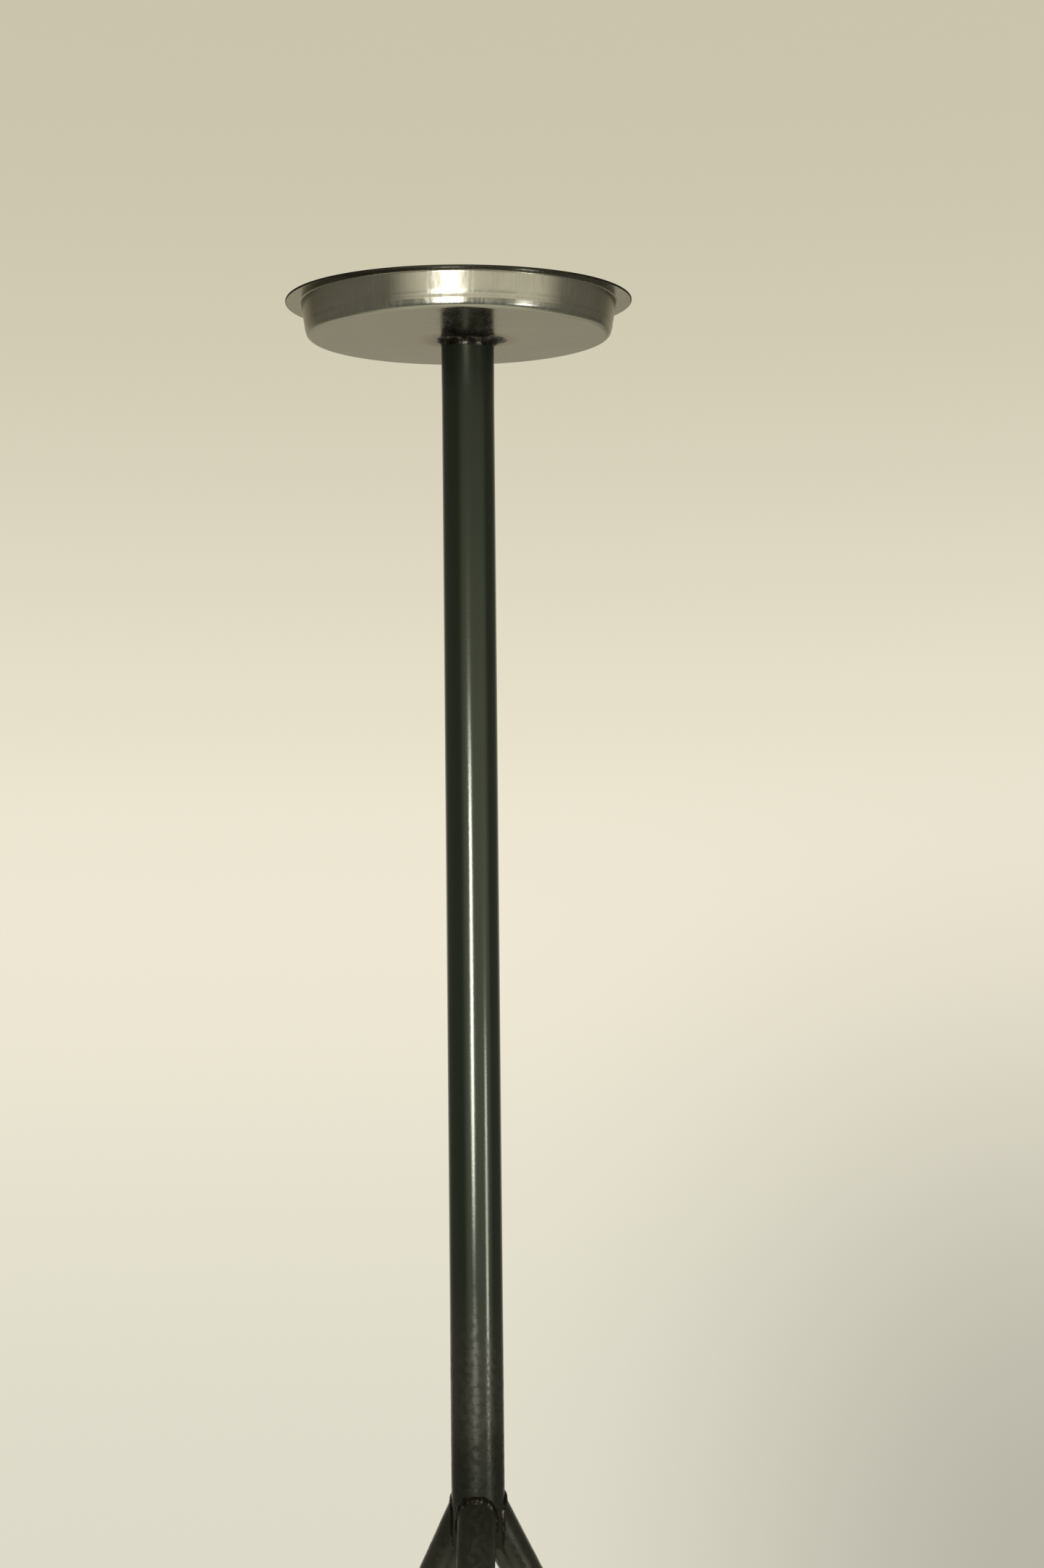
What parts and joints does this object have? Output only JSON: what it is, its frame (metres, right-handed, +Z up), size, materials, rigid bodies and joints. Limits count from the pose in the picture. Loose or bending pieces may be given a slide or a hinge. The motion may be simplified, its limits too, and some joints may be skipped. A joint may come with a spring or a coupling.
{
  "type": "pillar candle holder",
  "caption": "Tall welded tripod stand with a round tube stem and a shallow lipped steel dish on top for a pillar candle.",
  "frame": {"origin": "on the floor, in the middle of the tripod's footprint; the stem's axis stands 45 mm behind it, at x = 0", "axes": "+Z up along the stem, front leg towards -Y, so +X is to the right of someone who faces the front leg"},
  "size_m": [0.3344, 0.2921, 0.762],
  "materials": {
    "dish_steel": "polished",
    "dark_steel": "gloss",
    "weld_steel": "satin",
    "foot_rubber": "matte"
  },
  "bodies": {
    "root": {"dish": "dish_steel", "stem": "dark_steel", "dish_weld": "weld_steel", "leg_front": "dark_steel", "leg_right": "dark_steel", "leg_left": "dark_steel", "leg_weld_front": "weld_steel", "leg_weld_right": "weld_steel", "leg_weld_left": "weld_steel", "foot_front": "foot_rubber", "foot_right": "foot_rubber", "foot_left": "foot_rubber"}
  },
  "joints": []
}
